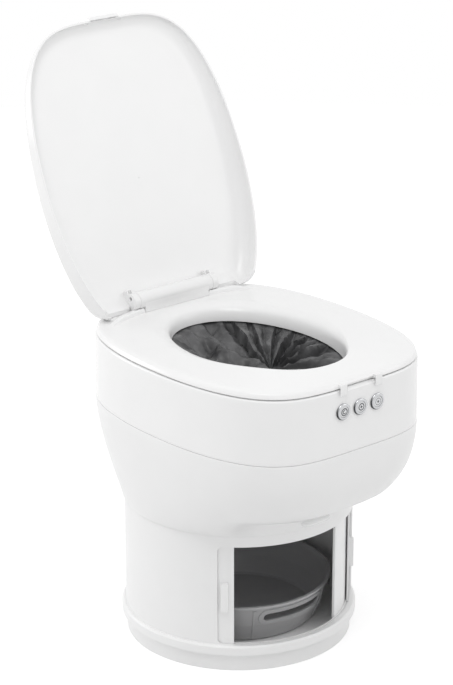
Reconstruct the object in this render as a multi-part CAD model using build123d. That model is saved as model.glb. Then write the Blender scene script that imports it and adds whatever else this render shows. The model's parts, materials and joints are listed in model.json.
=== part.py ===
from build123d import *
import os
from math import cos, sin, radians, hypot

os.makedirs("parts", exist_ok=True)

# Frame: origin at the middle of the round foot, on the floor. +Z is up and the sitter faces -Y.
# Angles around the pedestal are counted from the front (-Y) towards +X.

# Clearances
touch_gap = 0.3
running_gap = 0.4

# Round foot
plinth_radius = 163.6
plinth_height = 27.0
plinth_wall = 3.0
foot_pad_radius = 11.0
foot_pad_depth = 2.0
foot_pad_place = 128.0
ring_radius = 171.0
ring_top_z = 41.0
ring_round = 2.5
floor_top_z = 20.0
floor_thickness = 3.0
lip_inner_radius = 156.5

# Pedestal wall and its sliding doors
wall_radius = 165.0
wall_thickness = 3.0
wall_top_z = 211.0
doorway_half_angle = 50.5
doorway_top_z = 192.0
doorway_corner = 8.0
flange_inner_radius = 140.0
flange_thickness = 4.0
door_gap = 0.8
door_thickness = 2.4
door_open_angle = 42.4
door_span_angle = 57.0
door_edge_band_angle = 3.0
door_edge_groove = 0.4
door_groove_angle = 0.3
track_depth_bottom = 2.2
track_depth_top = 5.0
track_inner_radius = 153.0
track_bottom_z = 192.5
knob_angle = 4.6
knob_width = 10.9
knob_height = 44.0
knob_middle_z = 114.0
knob_stand_off = 3.0
post_from_angle = 21.5
post_to_angle = 42.0
post_foot_to_angle = 47.0
post_foot_top_z = 115.0
post_thickness = 3.5

# Waste bucket
bucket_base_radius = 113.0
bucket_mid_radius = 123.7
bucket_mid_z = 49.5
bucket_rim_radius = 134.4
bucket_top_z = 83.0
bucket_wall = 2.4
handle_length = 104.0
handle_slot = 12.0
handle_lip = 6.5
handle_middle_z = 63.0
bucket_ribs = 6
bucket_rib_width = 4.0
bucket_rib_height = 1.4

# Body shells: a rounded oblong with bulged sides, set forward of the pedestal
body_half_width = 186.2
body_half_depth = 219.3
body_middle_y = -34.2
front_face_y = body_middle_y - body_half_depth
rear_face_y = body_middle_y + body_half_depth
body_side_power = 4.08
body_end_power = 2.22
bowl_bottom_z = 208.5
bowl_bottom_radius = 167.0
seam_z = 352.0
seam_gap = 0.5
band_top_z = 444.8
band_lean = 1.2
shell_wall = 2.8
band_edge_round = 3.0
band_deck_width = 38.0
band_deck_thickness = 3.3
spigot_height = 6.0
front_growth = 3.0
rear_growth = 1.4
side_growth = 1.62
power_growth = 1.77
drop_hole_radius = 92.0
chassis_thickness = 4.0
chassis_radius = 148.0

# Seat
seat_bottom_z = 446.2
seat_top_z = 455.3
seat_bottom_inset = 2.8
seat_top_inset = 12.5
seat_step_inset = 8.5
opening_half_width = 98.6
opening_half_length = 144.5
opening_middle_y = -40.5
opening_side_power = 2.15
opening_end_power = 1.95
collar_bottom_z = 431.0
collar_wall = 5.0
seat_hinge_y = rear_face_y + 4.9
seat_hinge_z = 446.6
seat_hinge_radius = 4.2
seat_hinge_places = (-60.0, 60.0)
seat_knuckle = 10.0
seat_hinge_width = 28.0
seat_pin_radius = 2.0
lip_front_radius = 418.0
lip_depth = 9.0
lip_height = 6.5
lip_round = 2.0
lip_clearance = 0.8
lip_inner_x = 58.6
lip_taper_x = 114.0
lip_outer_x = 136.0
clip_place_x = 30.9
clip_width = 7.6
clip_bottom_z = 437.0
clip_top_z = 452.0
clip_thickness = 2.6
finger_half_width = 27.0
finger_bottom_z = 440.0
finger_back_z = 445.4
finger_top_z = 450.0
finger_depth = 7.0

# Lid hinge and lid, modelled closed and then opened. The barrel hangs below the pin that it carries.
lid_hinge_y = seat_hinge_y - 41.4
lip_centre_y = lid_hinge_y - 7.2 - lip_front_radius
lid_hinge_z = 476.0
barrel_drop = 5.0
barrel_radius = 12.3
barrel_half_length = 66.2
knuckle_outer_x = 76.6
knuckle_gap = 0.3
knuckle_rib = 2.0
bracket_half_width = 58.0
bracket_depth = 14.3
lid_pin_radius = 3.0
lid_pin_recess = 4.0
lid_open_angle = 115.2
lid_rim_z = 456.6
lid_half_width = body_half_width - 8.7
lid_front_length = body_half_depth + 11.9
lid_rear_length = body_half_depth + 4.4
lid_middle_y = body_middle_y + 16.5
lid_side_power = 4.04
lid_front_power = 2.23
lid_rear_power = 1.87
lid_wall = 3.2
lid_stretches = 8
lid_top_rear_z = 494.0
lid_top_front_z = 471.0
lid_stop_gap = 0.5
lid_edge_round = 9.0
lid_tab_half_width = 26.0
lid_tab_reach = 4.0
lid_notch_width = 7.0
lid_turn_radius = 20.2
lid_turn_half_width = 138.0
lid_open_half_width = 118.0
lid_bracket_half_width = 78.4

# Buttons on the front of the band
button_pitch = 30.7
button_z = 413.8
button_radius = 7.6
bezel_radius = 11.7
bezel_proud = 2.2
button_proud = 1.2
button_travel = 1.2
board_width = 96.0
board_height = 38.0
board_thickness = 1.6
switch_size = 6.0
board_stand_off = 12.0
board_post_radius = 3.0
board_post_places = ((-42.0, 399.0), (42.0, 399.0), (-42.0, 429.0), (42.0, 429.0))

# Film store and sealing unit under the seat
tray_top_z = 400.0
tray_thickness = 4.0
tray_ledge_width = 9.0
store_outer_width = 24.0
store_top_z = 427.5
film_thickness = 1.0
film_flange = 5.0
film_rim_inset = 2.0
film_neck_x = 14.0
film_neck_y = -52.0
film_neck_z = 402.0
film_neck_radius = 2.2
film_neck_top_radius = 8.0
film_end_z = 322.0
jaw_z = 374.0
jaw_height = 16.0
jaw_depth = 14.0
jaw_half_length = 105.0
jaw_travel = 12.0
jaw_face_gap = 0.5
rod_radius = 4.0
rod_place_x = 96.0
screw_place_x = 62.0
screw_radius = 3.5
screw_pitch = 4.0
rear_bar_y = 12.0
side_plate_x = 112.0
side_plate_thickness = 4.0
roller_z = 338.0
roller_pitch = 27.0
roller_radius = 11.0
roller_shaft_radius = 4.0
roller_half_length = 95.0
gear_teeth = 18
gear_width = 8.0
jaw_motor_radius = 14.0
jaw_motor_length = 48.0
roller_motor_radius = 18.0
roller_motor_length = 38.0

# Power
battery_size = (150.0, 38.0, 56.0)
inlet_radius = 5.5
inlet_x = -70.0
inlet_z = 262.0

hinge_line = Axis((0, lid_hinge_y, lid_hinge_z), (1, 0, 0))


def superellipse(half_width, front, rear, middle_y, side_power, front_power, rear_power,
                 inset=0.0, count=32):
    """Points of a rounded oblong, evenly spaced along it, moved inwards by inset."""
    fine = 1440
    raw = []
    for i in range(fine):
        t = radians(-90 + 360 * i / fine)
        c, s = cos(t), sin(t)
        reach, power = (front, front_power) if s < 0 else (rear, rear_power)
        x = half_width * (1 if c >= 0 else -1) * abs(c) ** (2 / side_power)
        y = middle_y + reach * (1 if s >= 0 else -1) * abs(s) ** (2 / power)
        raw.append((x, y))
    moved = []
    for i, (x, y) in enumerate(raw):
        ahead, behind = raw[(i + 6) % fine], raw[i - 6]
        dx, dy = ahead[0] - behind[0], ahead[1] - behind[1]
        size = hypot(dx, dy)
        moved.append((x - inset * dy / size, y + inset * dx / size))
    walked = [0.0]
    for here, there in zip(moved, moved[1:] + moved[:1]):
        walked.append(walked[-1] + hypot(there[0] - here[0], there[1] - here[1]))
    points, place = [], 0
    for k in range(count):
        goal = walked[-1] * k / count
        while walked[place + 1] < goal:
            place += 1
        points.append(moved[place])
    return points


def outline_face(points, z, stretches=1):
    """A face inside a closed smooth curve through the points, which may be split into equal stretches."""
    whole = Spline(*[(x, y, z) for x, y in points], periodic=True)
    if stretches == 1:
        return make_face(whole)
    return make_face([whole.trim(i / stretches, (i + 1) / stretches) for i in range(stretches)])


def body_points(inset=0.0):
    return superellipse(body_half_width, body_half_depth, body_half_depth, body_middle_y,
                        body_side_power, body_end_power, body_end_power, inset)


def body_face(z, inset=0.0):
    return outline_face(body_points(inset), z)


def opening_face(z, inset=0.0):
    length = opening_half_length
    points = superellipse(opening_half_width, length, length, opening_middle_y,
                          opening_side_power, opening_end_power, opening_end_power, inset)
    return outline_face(points, z)


def bowl_face(share, inset=0.0, lift=0.0):
    """One level of the lower shell: a circle at share 0 that has grown to the body outline at share 1."""
    def grown(rate):
        return 1 - (1 - share) ** rate
    front = bowl_bottom_radius + (body_half_depth - body_middle_y - bowl_bottom_radius) * grown(front_growth)
    rear = bowl_bottom_radius + (body_half_depth + body_middle_y - bowl_bottom_radius) * grown(rear_growth)
    half_width = bowl_bottom_radius + (body_half_width - bowl_bottom_radius) * grown(side_growth)
    side_power = 2 + (body_side_power - 2) * grown(power_growth)
    end_power = 2 + (body_end_power - 2) * grown(power_growth)
    reach = (front + rear) / 2
    middle_y = (rear - front) / 2
    points = superellipse(half_width, reach, reach, middle_y, side_power, end_power, end_power, inset)
    return outline_face(points, bowl_bottom_z + share * (seam_z - bowl_bottom_z) + lift)


def prism(face, height):
    return extrude(face, amount=height, dir=(0, 0, 1))


def disc(radius, z0, z1, x=0.0, y=0.0):
    return Pos(x, y, (z0 + z1) / 2) * Cylinder(radius, z1 - z0)


def ring(outer, inner, z0, z1, x=0.0, y=0.0):
    return disc(outer, z0, z1, x, y) - disc(inner, z0 - 1, z1 + 1, x, y)


def block(x0, x1, y0, y1, z0, z1):
    return Pos((x0 + x1) / 2, (y0 + y1) / 2, (z0 + z1) / 2) * Box(x1 - x0, y1 - y0, z1 - z0)


def slab_x(corners, half_width):
    """A body with the given side view, as pairs of y and z, that runs across from -half_width to half_width."""
    side = make_face(Polyline(*[(-half_width, y, z) for y, z in corners], close=True))
    return extrude(side, amount=2 * half_width, dir=(1, 0, 0))


def rod_x(radius, x0, x1, y, z):
    return Pos((x0 + x1) / 2, y, z) * Rot(0, 90, 0) * Cylinder(radius, x1 - x0)


def rod_y(radius, y0, y1, x, z):
    return Pos(x, (y0 + y1) / 2, z) * Rot(90, 0, 0) * Cylinder(radius, y1 - y0)


def wedge(radius, angle0, angle1, z0, z1):
    """A slice of a disc between two angles from the front, less than half a turn wide."""
    steps = 4
    points = [(0, 0)]
    reach = radius / cos(radians((angle1 - angle0) / steps / 2))
    for i in range(steps + 1):
        a = radians(angle0 + (angle1 - angle0) * i / steps)
        points.append((reach * sin(a), -reach * cos(a)))
    return Pos(0, 0, z0) * prism(make_face(Polyline(*points, close=True)), z1 - z0)


def curved_panel(outer, inner, angle0, angle1, z0, z1):
    return ring(outer, inner, z0, z1) & wedge(outer + 20, angle0, angle1, z0 - 1, z1 + 1)


def turned(points):
    """A body turned about the upright axis from its half section, given as radius and height."""
    return revolve(make_face(Polyline(*[(r, 0, z) for r, z in points], close=True)), Axis.Z)


def save(name, shape):
    if isinstance(shape, (list, ShapeList, tuple)):
        shape = Compound(children=list(shape))
    shape.label = name
    export_step(shape, f"parts/{name}.step")
    return shape


# Round foot

wall_inner = wall_radius - wall_thickness
door_outer = wall_inner - door_gap
door_inner = door_outer - door_thickness
slot_outer = door_outer + running_gap
slot_inner = door_inner - running_gap
door_bottom_z = ring_top_z - track_depth_bottom + touch_gap
door_top_z = track_bottom_z + track_depth_top - running_gap


def make_plinth():
    body = disc(plinth_radius, 0, plinth_height) - disc(plinth_radius - plinth_wall, 3.0, plinth_height + 1)
    for turn in (0, 60, 120):
        rib = block(-plinth_radius + 1, plinth_radius - 1, -2, 2, 2.0, floor_top_z - floor_thickness)
        body += Rot(0, 0, turn + 15) * rib
    for pad in foot_pad_places():
        body -= disc(foot_pad_radius + 0.1, -1, foot_pad_depth, *pad)
    return body


def foot_pad_places():
    return [(foot_pad_place * cos(radians(a)), foot_pad_place * sin(radians(a))) for a in (45, 135, 225, 315)]


def make_base_tray():
    floor_low = floor_top_z - floor_thickness
    outer_low = plinth_radius - plinth_wall - 0.2
    body = turned([(0, floor_low), (outer_low, floor_low), (outer_low, plinth_height),
                   (ring_radius, plinth_height), (ring_radius, ring_top_z - ring_round),
                   (ring_radius - ring_round, ring_top_z), (lip_inner_radius, ring_top_z),
                   (lip_inner_radius, floor_top_z), (0, floor_top_z)])
    return body - ring(slot_outer, slot_inner, ring_top_z - track_depth_bottom, ring_top_z + 1)


save("base_plinth", make_plinth())
save("rubber_feet", [disc(foot_pad_radius, 0, foot_pad_depth, *pad) for pad in foot_pad_places()])
save("base_tray", make_base_tray())


# Pedestal wall, door tracks and doors

def make_pedestal_shell():
    body = ring(wall_radius, wall_inner, ring_top_z, wall_top_z)
    body += ring(wall_inner + 1, flange_inner_radius, wall_top_z - flange_thickness, wall_top_z)
    doorway = wedge(wall_radius + 20, -doorway_half_angle, 0, ring_top_z - 1, doorway_top_z)
    doorway += wedge(wall_radius + 20, 0, doorway_half_angle, ring_top_z - 1, doorway_top_z)
    body -= doorway & ring(wall_radius + 10, wall_inner - 10, ring_top_z - 2, doorway_top_z)
    corners = [(ring_top_z, ring_top_z + doorway_corner), (doorway_top_z, doorway_top_z - doorway_corner)]
    for side in (-1, 1):
        turn = side * doorway_half_angle
        place = Pos(wall_radius * sin(radians(turn)), -wall_radius * cos(radians(turn)), 0)
        for low, middle in corners:
            web = block(-doorway_corner, 0, -6, 6, min(low, middle), max(low, middle))
            web -= Pos(-doorway_corner, 0, middle) * Rot(90, 0, 0) * Cylinder(doorway_corner, 14)
            if side < 0:
                web = mirror(web, Plane.YZ)
            body += (place * Rot(0, 0, turn) * web) & ring(wall_radius, wall_inner, ring_top_z, doorway_top_z)
    return body


def make_upper_track():
    body = ring(wall_inner - 0.1, track_inner_radius, track_bottom_z, wall_top_z - flange_thickness)
    return body - ring(slot_outer, slot_inner, track_bottom_z - 1, track_bottom_z + track_depth_top)


def make_post():
    outer = lip_inner_radius - touch_gap
    inner = outer - post_thickness
    tall = curved_panel(outer, inner, post_from_angle, post_to_angle, floor_top_z, track_bottom_z)
    foot = curved_panel(outer, inner, post_to_angle - 1, post_foot_to_angle, floor_top_z, post_foot_top_z)
    return tall + foot


def make_door(side):
    """A curved door panel, modelled open. Side -1 slides away towards -X and side +1 towards +X."""
    lead, tail = side * door_open_angle, side * (door_open_angle + door_span_angle)
    panel = curved_panel(door_outer, door_inner, min(lead, tail), max(lead, tail), door_bottom_z, door_top_z)
    band = side * (door_open_angle + door_edge_band_angle)
    groove = curved_panel(door_outer + 1, door_outer - door_edge_groove, band, band + door_groove_angle,
                          ring_top_z + 0.5, doorway_top_z)
    return panel - groove


def make_knob(side):
    turn = side * (door_open_angle + knob_angle)
    a = radians(turn)
    depth = wall_radius + knob_stand_off - door_outer
    grip = Box(knob_width, depth, knob_height)
    grip = fillet(grip.edges().filter_by(Axis.Y), 2.5)
    grip = fillet(grip.faces().sort_by(Axis.Y)[0].edges(), 1.2)
    reach = door_outer - 0.6 + depth / 2
    placed = Pos(reach * sin(a), -reach * cos(a), knob_middle_z) * Rot(0, 0, turn) * grip
    return placed - disc(door_outer, 0, doorway_top_z)


save("pedestal_shell", make_pedestal_shell())
save("upper_door_track", make_upper_track())
save("door_post", make_post())
for name, side in (("left", -1), ("right", 1)):
    save(f"{name}_door", make_door(side))
    save(f"{name}_door_knob", make_knob(side))


# Waste bucket

def make_bucket():
    low = floor_top_z + touch_gap
    outer = [(bucket_base_radius - 4, low), (bucket_base_radius, low + 4), (bucket_mid_radius, bucket_mid_z),
             (bucket_rim_radius - 4, bucket_top_z - 5), (bucket_rim_radius, bucket_top_z - 3),
             (bucket_rim_radius, bucket_top_z)]
    inner = [(bucket_rim_radius - 4.4, bucket_top_z), (bucket_rim_radius - 4 - bucket_wall, bucket_top_z - 4),
             (bucket_mid_radius - bucket_wall, bucket_mid_z), (bucket_base_radius - bucket_wall, low + 5),
             (bucket_base_radius - 6, low + bucket_wall), (0, low + bucket_wall), (0, low)]
    body = turned(outer + inner)
    wider = turned([(r + bucket_rib_height, z) for r, z in outer[1:4]]
                   + [(bucket_base_radius - 4, bucket_top_z - 6), (bucket_base_radius - 4, low + 4)])
    hollow = turned([(0, low + 1)] + [(r - 1, z) for r, z in outer[1:4]] + [(0, bucket_top_z - 5)])
    skin = wider - hollow
    for i in range(bucket_ribs):
        a = 30 + 360 * i / bucket_ribs
        half = bucket_rib_width / 2
        body += (Rot(0, 0, a) * block(-half, half, -bucket_rim_radius, -60, low + 4, bucket_top_z - 8)) & skin
    for turn in (0, 180):
        lip_shape = SlotOverall(handle_length + 2 * handle_lip, handle_slot + 2 * handle_lip)
        slot_shape = SlotOverall(handle_length, handle_slot)
        lip = Pos(0, -60, handle_middle_z) * Rot(90, 0, 0) * extrude(lip_shape, amount=100)
        slot = Pos(0, -60, handle_middle_z) * Rot(90, 0, 0) * extrude(slot_shape, amount=100)
        body += Rot(0, 0, turn) * (lip & skin)
        body -= Rot(0, 0, turn) * slot
    return body


save("waste_bucket", make_bucket())


# Lower bowl shell

bowl_shares = (0, 0.06, 0.15, 0.28, 0.42, 0.58, 0.74, 0.88, 1)
bowl_outer = loft([bowl_face(s) for s in bowl_shares])


def make_lower_bowl():
    inner = loft([bowl_face(s, shell_wall, shell_wall) for s in bowl_shares])
    floor_low = wall_top_z
    above_floor = block(-body_half_width, body_half_width, front_face_y, rear_face_y, floor_low + shell_wall, seam_z + 10)
    body = bowl_outer - (inner & above_floor)
    body -= disc(wall_radius + touch_gap, bowl_bottom_z - 1, floor_low)
    body -= disc(drop_hole_radius, bowl_bottom_z - 1, floor_low + shell_wall + 1, 0, film_neck_y)
    spigot_outer = band_lean + shell_wall + running_gap
    spigot = prism(body_face(seam_z - 10, shell_wall - 0.6), 10)
    spigot += prism(body_face(seam_z, spigot_outer), spigot_height)
    spigot -= prism(body_face(seam_z - 11, spigot_outer + 2), spigot_height + 12)
    body += spigot
    body -= rod_y(inlet_radius + 2.2, 120, rear_face_y + 60, inlet_x, inlet_z)
    return body


def make_front_grip():
    """The pill-shaped pad under the front of the bowl."""
    pad = extrude(SlotOverall(46, 12), amount=6, both=True)
    pad = Pos(0, -wall_radius - 3.5, bowl_bottom_z + 7) * Rot(62, 0, 0) * pad
    pad = fillet(pad.faces().sort_by(Axis.Y)[0].edges(), 2.0)
    return pad - lower_bowl - disc(wall_radius + 3, 150, bowl_bottom_z + 30)


lower_bowl = make_lower_bowl()
save("lower_bowl_shell", lower_bowl)
save("front_grip", make_front_grip().solids().sort_by(SortBy.VOLUME)[-1])


# Upper band shell with its deck, ledge and button holes

def button_places():
    return [(-button_pitch, "power_button"), (0.0, "cover_button"), (button_pitch, "flush_button")]


board_front_y = front_face_y + shell_wall + board_stand_off


def finger_room():
    """The hollow between the clips that lets fingers under the seat's front edge."""
    back_y, ahead_y = front_face_y + finger_depth, front_face_y - 5
    return slab_x([(ahead_y, finger_bottom_z - 3), (back_y, finger_back_z), (back_y, finger_top_z),
                   (ahead_y, finger_top_z)], finger_half_width)


def make_band():
    low = seam_z + seam_gap
    turn = band_edge_round
    levels = [(low, 0), (band_top_z - turn, band_lean), (band_top_z - turn * 0.29, band_lean + turn * 0.29),
              (band_top_z, band_lean + turn)]
    outer = loft([body_face(z, inset) for z, inset in levels], ruled=True)
    inner = prism(body_face(low - 1, band_lean + shell_wall), band_top_z - low + 1 - band_deck_thickness)
    body = outer - inner
    body -= prism(body_face(band_top_z - 10, band_deck_width), 20)
    ledge = prism(body_face(tray_top_z - tray_thickness - 8, shell_wall), 8)
    ledge -= prism(body_face(tray_top_z - tray_thickness - 9, tray_ledge_width), 10)
    board_room_y = front_face_y + 16
    ledge -= block(-board_width, board_width, front_face_y - 5, board_room_y, tray_top_z - 20, tray_top_z + 5)
    body += ledge
    for x, _ in button_places():
        body -= rod_y(button_radius + 2.4, front_face_y - 5, front_face_y + 15, x, button_z)
    for x, z in board_post_places:
        body += rod_y(board_post_radius, front_face_y + shell_wall, board_front_y, x, z)
    for x in seat_hinge_places:
        body += make_band_leaf(x)
    return body - finger_room()


def make_band_leaf(x):
    """Two knuckles on the rear of the band, with room between them for the seat's knuckle."""
    x0, x1 = x - seat_hinge_width / 2, x + seat_hinge_width / 2
    leaf = rod_x(seat_hinge_radius, x0, x1, seat_hinge_y, seat_hinge_z)
    leaf += block(x0, x1, seat_hinge_y - 9, seat_hinge_y, seat_hinge_z - 9, seat_hinge_z - 2)
    gap = seat_knuckle / 2 + touch_gap
    front_y = seat_hinge_y - seat_hinge_radius - 1
    leaf -= block(x - gap, x + gap, front_y, seat_hinge_y + 10, seat_hinge_z - 12, seat_hinge_z + 10)
    return leaf - rod_x(seat_pin_radius, x0 - 1, x1 + 1, seat_hinge_y, seat_hinge_z)


def make_seat_hinge_pin(x):
    half = seat_hinge_width / 2
    return rod_x(seat_pin_radius, x - half, x + half, seat_hinge_y, seat_hinge_z)


band_body = make_band()
save("upper_band_shell", band_body)
save("seat_hinge_pins", [make_seat_hinge_pin(x) for x in seat_hinge_places])


# Seat, lid hinge cover and clips

barrel_z = lid_hinge_z - barrel_drop
barrel_front_y = lid_hinge_y - barrel_radius


def make_lip(side):
    """A low rounded rail on the rear of the seat, beside the hinge cover, that dies away at the corner."""
    low, top = seat_top_z - 1, seat_top_z + lip_height
    rail = ring(lip_front_radius + lip_depth, lip_front_radius, low, top, 0, lip_centre_y)
    rail = fillet(rail.faces().sort_by(Axis.Z)[-1].edges(), lip_round)
    inner, outer = side * lip_inner_x, side * lip_outer_x
    rail &= block(min(inner, outer), max(inner, outer), 0, rear_face_y, low, top)
    taper_x = side * lip_taper_x
    corners = [(outer, seat_top_z), (taper_x, top), (taper_x, top + 5), (outer, top + 5)]
    taper = make_face(Polyline(*[(x, 0, z) for x, z in corners], close=True))
    rail -= extrude(taper, amount=rear_face_y, dir=(0, 1, 0))
    return rail - rod_x(barrel_radius + lip_clearance, -200, 200, lid_hinge_y, barrel_z)


def make_seat():
    low, top = seat_bottom_z, seat_top_z
    middle = low + (top - low) * 0.55
    body = loft([body_face(low, seat_bottom_inset), body_face(middle, seat_bottom_inset + 3.4),
                 body_face(top, seat_top_inset)])
    body += prism(body_face(band_top_z + touch_gap, seat_step_inset), 3)
    body += prism(opening_face(collar_bottom_z, -collar_wall), top - collar_bottom_z - 3)
    scoop = [(0, collar_bottom_z - 1), (0.2, top - 18), (1.2, top - 10), (3.4, top - 5.2), (8, top - 2.0),
             (15, top - 0.4), (26, top + 0.4)]
    body -= loft([opening_face(z, -wide) for wide, z in scoop])
    for x in seat_hinge_places:
        x0, x1 = x - seat_knuckle / 2, x + seat_knuckle / 2
        arm_low, arm_high = seat_hinge_z + 0.8, seat_hinge_z + seat_hinge_radius
        body += block(x0, x1, seat_hinge_y - 14, seat_hinge_y, arm_low, arm_high)
        body += rod_x(seat_hinge_radius, x0, x1, seat_hinge_y, seat_hinge_z)
        body -= rod_x(seat_pin_radius + 0.05, x0 - 1, x1 + 1, seat_hinge_y, seat_hinge_z)
    for side in (-1, 1):
        body += make_lip(side)
    return body - finger_room()


def make_hinge_cover():
    barrel = rod_x(barrel_radius, -barrel_half_length, barrel_half_length, lid_hinge_y, barrel_z)
    neck = block(-bracket_half_width, bracket_half_width, barrel_front_y, barrel_front_y + bracket_depth,
                 seat_top_z, barrel_z)
    return barrel + neck - rod_x(lid_pin_radius, -200, 200, lid_hinge_y, lid_hinge_z)


def make_clip(x):
    front = front_face_y - clip_thickness
    body = block(x - clip_width / 2, x + clip_width / 2, front, front_face_y + 14, clip_bottom_z, clip_top_z)
    body = fillet(body.faces().sort_by(Axis.Y)[0].edges(), 0.9)
    grown = loft([body_face(clip_bottom_z - 2, -touch_gap), body_face(seat_bottom_z, -touch_gap)], ruled=True)
    return body - grown - seat_body


seat_body = make_seat()
save("seat_plate", seat_body)
save("lid_hinge_cover", make_hinge_cover())
pin_half_length = knuckle_outer_x - lid_pin_recess
save("lid_hinge_pin", rod_x(lid_pin_radius, -pin_half_length, pin_half_length, lid_hinge_y, lid_hinge_z))
save("seat_clips", [make_clip(s * clip_place_x).solids().sort_by(SortBy.VOLUME)[-1] for s in (-1, 1)])


# Lid

def lid_points(inset=0.0):
    return superellipse(lid_half_width, lid_front_length, lid_rear_length, lid_middle_y,
                        lid_side_power, lid_front_power, lid_rear_power, inset)


def lid_block(inset, z0, lift):
    """The closed lid as a solid: its outline, cut by the sloping top and by the rear that rests when open."""
    body = prism(outline_face(lid_points(inset), z0, lid_stretches), 60)
    length = lid_hinge_y - (lid_middle_y - lid_front_length)
    slope = (lid_top_rear_z - lid_top_front_z) / length
    y0, y1 = lid_middle_y - lid_front_length - 60, lid_middle_y + lid_rear_length + 60
    top_at = lambda y: lid_top_rear_z - lift + (y - lid_hinge_y) * slope
    body -= slab_x([(y0, top_at(y0)), (y1, top_at(y1)), (y1, 700), (y0, 700)], 300)
    a = radians(lid_open_angle)
    floor = seat_top_z + lid_stop_gap + inset
    rear_at = lambda z: lid_hinge_y + (lid_hinge_z - floor + (z - lid_hinge_z) * cos(a)) / sin(a)
    return body - slab_x([(rear_at(400), 400), (400, 400), (400, 600), (rear_at(600), 600)], 300)


def turning_room(half_width, from_radius, behind):
    """The room behind the closed lid's hinge that must be empty for the lid to turn over the seat."""
    reach, a = 120.0, radians(lid_open_angle - 90)
    upper_y, upper_z = lid_hinge_y - behind * sin(a), lid_hinge_z + behind * cos(a)
    room = slab_x([(lid_hinge_y, lid_hinge_z), (lid_hinge_y, lid_hinge_z - reach),
                   (lid_hinge_y + reach, lid_hinge_z - reach),
                   (upper_y + reach * cos(a), upper_z + reach * sin(a)), (upper_y, upper_z)], half_width)
    if from_radius:
        room -= rod_x(from_radius, -half_width - 1, half_width + 1, lid_hinge_y, lid_hinge_z)
    return room


def opened(shape):
    return shape.rotate(hinge_line, -lid_open_angle)


def closed(shape):
    return shape.rotate(hinge_line, lid_open_angle)


def make_lid_knuckle(side):
    """The end piece of the barrel that belongs to the lid, with its ribs, placed on the closed lid."""
    inner, outer = side * (barrel_half_length + knuckle_gap), side * knuckle_outer_x
    x0, x1 = min(inner, outer), max(inner, outer)
    body = closed(rod_x(barrel_radius, x0, x1, lid_hinge_y, barrel_z))
    rib_top_z = lid_top_rear_z - 1
    for rib in (x0, x1 - knuckle_rib):
        body += block(rib, rib + knuckle_rib, lid_hinge_y - 13, lid_hinge_y + 6, lid_hinge_z, rib_top_z)
    body += block(x0, x1, lid_hinge_y, lid_hinge_y + 6, lid_hinge_z, rib_top_z)
    return body - rod_x(lid_pin_radius + 0.05, x0 - 1, x1 + 1, lid_hinge_y, lid_hinge_z)


def make_lid():
    body = lid_block(0, lid_rim_z, 0)
    body = fillet(body.faces().sort_by(Axis.Z)[-1].edges(), lid_edge_round)
    hollow = lid_block(lid_wall, lid_rim_z - 1, lid_wall)
    hollow = fillet(hollow.faces().sort_by(Axis.Z)[-1].edges(), lid_edge_round - 2)
    body -= hollow
    body -= turning_room(lid_turn_half_width, lid_turn_radius, 0.5)
    body -= turning_room(lid_open_half_width, 0, 0.5)
    body -= turning_room(lid_bracket_half_width, 0, 3.0)
    front = lid_middle_y - lid_front_length
    tab = block(-lid_tab_half_width, lid_tab_half_width, front - lid_tab_reach, front + 3,
                lid_rim_z, lid_rim_z + 5)
    tab = fillet(tab.edges().filter_by(Axis.Z).sort_by(Axis.Y)[:2], 2)
    body += tab
    for side in (-1, 1):
        x = side * (lid_tab_half_width + lid_notch_width / 2)
        x0, x1 = x - lid_notch_width / 2 + 0.5, x + lid_notch_width / 2 - 0.5
        body -= block(x0, x1, front - 5, front + lid_wall + 2, lid_rim_z + 2, lid_rim_z + 8)
    for side in (-1, 1):
        body += make_lid_knuckle(side)
    return body


lid_closed = make_lid()
save("lid_shell", opened(lid_closed))


# Film store, its tray and the film

def make_tray():
    body = prism(body_face(tray_top_z - tray_thickness, band_lean + shell_wall + running_gap), tray_thickness)
    body -= prism(opening_face(tray_top_z - 20, 6.0), 40)
    half = board_width / 2 + 4
    return body - block(-half, half, front_face_y - 5, front_face_y + 18, tray_top_z - 20, tray_top_z + 20)


def make_store():
    low = tray_top_z
    body = prism(opening_face(low, -store_outer_width - 2), store_top_z - low)
    body -= prism(opening_face(low - 1, -3), 60)
    groove = prism(opening_face(low + 4, -store_outer_width), 18) - prism(opening_face(low + 3, -6), 20)
    return body - groove


def film_funnel(inset, top, low):
    """A solid funnel from an oval at the top to a round neck."""
    rim = Pos(0, opening_middle_y, top) * Ellipse(opening_half_width - inset, opening_half_length - inset)
    neck = Pos(film_neck_x, film_neck_y, low) * Circle(film_neck_top_radius - inset + film_rim_inset)
    return loft([neck, rim])


def make_film():
    """The film: a flange on the store, a shallow funnel to its pinched neck, and the neck down to its end."""
    low, top = film_neck_z, store_top_z + touch_gap + film_thickness
    flange = prism(opening_face(top - film_thickness, -film_flange), film_thickness)
    body = flange + film_funnel(film_rim_inset, top, low)
    body -= film_funnel(film_rim_inset + film_thickness, top + 0.01, low + film_thickness)
    neck_top = low + film_thickness / 2
    return body + disc(film_neck_radius, film_end_z, neck_top, film_neck_x, film_neck_y)


save("film_tray", make_tray())
save("film_store", make_store())
save("film_bag", make_film())


# Sealing jaws on two rods, moved by a screw

jaw_low, jaw_high = jaw_z - jaw_height / 2, jaw_z + jaw_height / 2
fixed_face_y = film_neck_y - film_neck_radius - jaw_face_gap
moving_face_y = film_neck_y + film_neck_radius + jaw_face_gap + jaw_travel
plate_inner_x = side_plate_x - side_plate_thickness / 2
fixed_back_y = fixed_face_y - jaw_depth


def make_fixed_jaw():
    body = block(-plate_inner_x, plate_inner_x, fixed_back_y, fixed_face_y, jaw_low, jaw_high)
    for x in (-rod_place_x, rod_place_x):
        body -= rod_y(rod_radius, fixed_back_y + 4, 50, x, jaw_z)
    return body - rod_y(screw_radius + 0.05, fixed_back_y + 4, 50, screw_place_x, jaw_z)


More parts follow.
